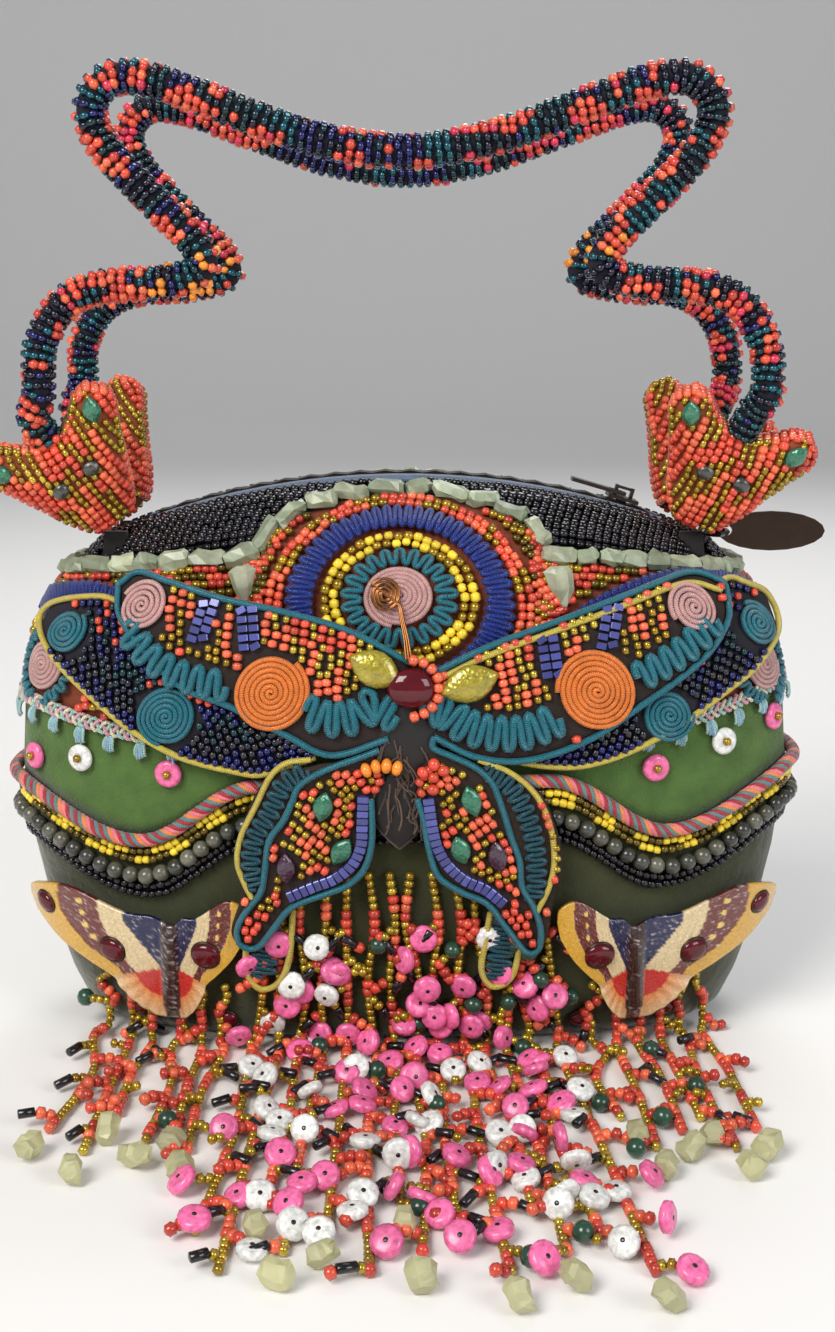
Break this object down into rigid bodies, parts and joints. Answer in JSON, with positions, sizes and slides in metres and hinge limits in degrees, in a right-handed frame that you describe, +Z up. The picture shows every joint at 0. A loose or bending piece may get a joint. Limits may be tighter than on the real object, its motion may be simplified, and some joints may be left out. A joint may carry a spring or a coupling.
{
  "type": "beaded handbag",
  "caption": "Stiff domed evening handbag with beaded rope handles ending in stuffed animal heads, a raised butterfly, stone-chip border, zip and bead fringe.",
  "frame": {"origin": "centre of the base's underside", "axes": "+Z up, -Y to the front with the butterfly and fringe, +X to the right seen from the front"},
  "size_m": [0.2438, 0.2172, 0.2767],
  "materials": {
    "velvet": "dark olive velvet",
    "suede": "moss green suede",
    "shell_board": "moulded board, hidden",
    "lining_cloth": "plain lining",
    "coral_gold_beads": "opaque coral and gold seed beads",
    "black_beads": "shiny black seed beads",
    "head_beads": "gold and coral bead rows over stuffed cloth",
    "tab_cloth": "sewn cloth tab",
    "rope_beads": "navy, teal and coral seed beads wound on a wired cord",
    "pale_stone": "polished pale green stone chips",
    "mauve_cord": "satin gimp cord",
    "teal_cord": "satin gimp cord",
    "yellow_gold_beads": "yellow and gold seed beads",
    "blue_cord": "satin gimp cord",
    "gimp_braid": "pink, mint and pale blue braid",
    "pink_stone": "dyed disc bead",
    "white_stone": "veined disc bead",
    "twisted_cord": "twisted red, teal and gold cord",
    "grey_stone": "polished grey round beads",
    "yellow_cord": "satin cord outline",
    "ruby_glass": "ruby glass dome",
    "copper_wire": "copper wire",
    "enamel": "enamelled metal",
    "fringe_beads": "coral and gold seed beads with stone discs",
    "bronze": "dark bronze plate, bare",
    "zip_tape": "slate blue tape",
    "zip_metal": "rose metal teeth"
  },
  "bodies": {
    "bag": {"antenna": "copper_wire", "base_cover": "velvet", "bead_crown": "black_beads", "beaded_ground": "coral_gold_beads", "black_bead_rows": "black_beads", "butterfly_pin_left": "enamel", "butterfly_pin_right": "enamel", "cabochon": "ruby_glass", "chip_border": "pale_stone", "corner_rosette_back_left": "blue_cord", "corner_rosette_back_right": "blue_cord", "corner_rosette_front_left": "blue_cord", "corner_rosette_front_right": "blue_cord", "fringe_centre": "fringe_beads", "fringe_left": "fringe_beads", "fringe_right": "fringe_beads", "front_wing_left": "teal_cord", "front_wing_right": "teal_cord", "gimp_braid": "gimp_braid", "grey_bead_row": "grey_stone", "hind_wing_left": "teal_cord", "hind_wing_right": "teal_cord", "lining": "lining_cloth", "rear_wing_left": "yellow_cord", "rear_wing_right": "yellow_cord", "rope_trim": "twisted_cord", "rosette_back": "blue_cord", "rosette_bead_ring": "yellow_gold_beads", "rosette_blue_ruffle": "blue_cord", "rosette_coil": "mauve_cord", "rosette_coral_ring": "coral_gold_beads", "rosette_teal_ruffle": "teal_cord", "shell": "shell_board", "snout_tab_back_left": "tab_cloth", "snout_tab_back_right": "tab_cloth", "snout_tab_front_left": "tab_cloth", "snout_tab_front_right": "tab_cloth", "stud_pink_left": "pink_stone", "stud_pink_left_end": "pink_stone", "stud_pink_right": "pink_stone", "stud_pink_right_end": "pink_stone", "stud_white_left": "white_stone", "stud_white_right": "white_stone", "suede_band": "suede", "tag_loop": "black_beads", "velvet_band": "velvet", "yellow_bead_rows": "yellow_gold_beads", "zip_tape_back": "zip_tape", "zip_tape_front": "zip_tape", "zip_teeth_back": "zip_metal", "zip_teeth_front": "zip_metal"},
    "front_handle": {"handle_front": "rope_beads", "head_front_left": "head_beads", "head_front_right": "head_beads"},
    "back_handle": {"handle_back": "rope_beads", "head_back_left": "head_beads", "head_back_right": "head_beads"},
    "zip_slider_body": {"zip_slider": "zip_metal"},
    "zip_pull_body": {"zip_pull": "zip_metal"},
    "tag_body": {"tag": "bronze"}
  },
  "joints": [
    {"name": "front_handle_tilt", "type": "hinge", "parent": "bag", "child": "front_handle", "pos_m": [0, -0.0125, 0.15], "axis": [1, 0, 0], "range_deg": [-8, 45]},
    {"name": "back_handle_tilt", "type": "hinge", "parent": "bag", "child": "back_handle", "pos_m": [0, 0.0125, 0.15], "axis": [-1, 0, 0], "range_deg": [-8, 45]},
    {"name": "zip_travel", "type": "hinge", "parent": "bag", "child": "zip_slider_body", "pos_m": [0, 0, -0.063], "axis": [0, 1, 0], "range_deg": [-32, 0]},
    {"name": "zip_pull_swing", "type": "hinge", "parent": "zip_slider_body", "child": "zip_pull_body", "pos_m": [0.06502, 0, 0.15934], "axis": [0, 1, 0], "range_deg": [0, 150]},
    {"name": "tag_swing", "type": "hinge", "parent": "bag", "child": "tag_body", "pos_m": [0.0952, -0.006, 0.149], "axis": [0, -1, 0], "range_deg": [0, 50]}
  ]
}
